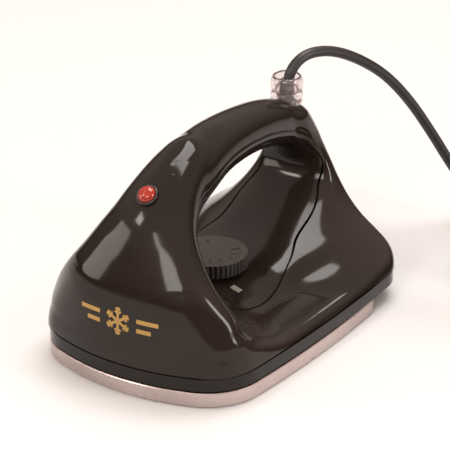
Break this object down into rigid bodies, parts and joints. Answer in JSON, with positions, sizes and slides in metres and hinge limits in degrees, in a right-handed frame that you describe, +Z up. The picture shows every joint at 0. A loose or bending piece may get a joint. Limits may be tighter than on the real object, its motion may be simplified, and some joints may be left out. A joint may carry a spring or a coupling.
{
  "type": "ski waxing iron",
  "caption": "Electric waxing iron: flat aluminium sole, black moulded body with a loop handle, temperature dial, pilot lamp and a coiled mains lead with plug.",
  "frame": {"origin": "centre of the iron's footprint, on the plane of the sole, measured without the mains lead", "axes": "+Z up out of the sole, -Y towards the nose with the pilot lamp, the handle lies in the plane x = 0"},
  "size_m": [0.2096, 0.242, 0.1118],
  "materials": {
    "black_shell": "gloss",
    "liner": "gloss",
    "plate": "satin, ground sole",
    "gasket": "fibre board",
    "steel": "zinc plated",
    "element": "heat-dulled sheath",
    "ceramic": "unglazed steatite",
    "brass": "bright",
    "bimetal": "rolled strip",
    "knob": "fine sparkle, knurled",
    "mark": "printed",
    "lens": "translucent",
    "bezel": "satin",
    "bulb": "clear",
    "block": "white",
    "wire_red": "silicone",
    "wire_green": "silicone",
    "wire_blue": "silicone",
    "lead_in": "glass-fibre sleeve",
    "sleeve": "ribbed",
    "guard": "clear, slightly pink",
    "cord": "matt round lead",
    "tie": "plain",
    "plug": "moulded",
    "nickel": "nickel plated"
  },
  "bodies": {
    "iron": {"upper_housing": "black_shell", "handle_liner": "liner", "skirt_ring": "black_shell", "sole_plate": "plate", "insulating_gasket": "gasket", "heating_element": "element", "element_end_seals": "ceramic", "element_pins": "steel", "element_clamp_bars": "steel", "element_clamp_screws": "steel", "ceramic_standoffs": "ceramic", "heat_shield": "steel", "standoff_screws": "steel", "boss_washers": "steel", "housing_screws": "steel", "thermostat_bracket": "steel", "thermostat_insulators": "ceramic", "bimetal_strip": "bimetal", "lower_contact_spring": "brass", "upper_contact_spring": "brass", "contact_points": "nickel", "stack_rivet": "steel", "spindle_bush": "brass", "dial_index_mark": "mark", "lamp_bezel": "bezel", "lamp_lens": "lens", "neon_bulb": "bulb", "terminal_block": "block", "terminal_screws": "brass", "live_wire": "wire_red", "earth_wire": "wire_green", "neutral_wire": "wire_blue", "lamp_leads": "lead_in", "element_leads": "lead_in", "fuse_sleeve": "lead_in", "thermal_fuse": "nickel", "strain_relief": "sleeve", "guard_collar": "guard", "guard_cap": "guard", "cord_clamp": "block", "cord_clamp_screws": "steel", "mains_cord": "cord", "cord_coil": "cord", "cord_tie": "tie", "plug_body": "plug", "plug_pins": "nickel"},
    "dial": {"dial_knob": "knob", "dial_scale_disc": "knob", "thermostat_spindle": "brass", "ceramic_push_pin": "ceramic"}
  },
  "joints": [
    {"name": "dial_turn", "type": "hinge", "parent": "iron", "child": "dial", "pos_m": [0, -0.0034, 0.0314], "axis": [0, 0, 1], "range_deg": [-135, 135]}
  ]
}
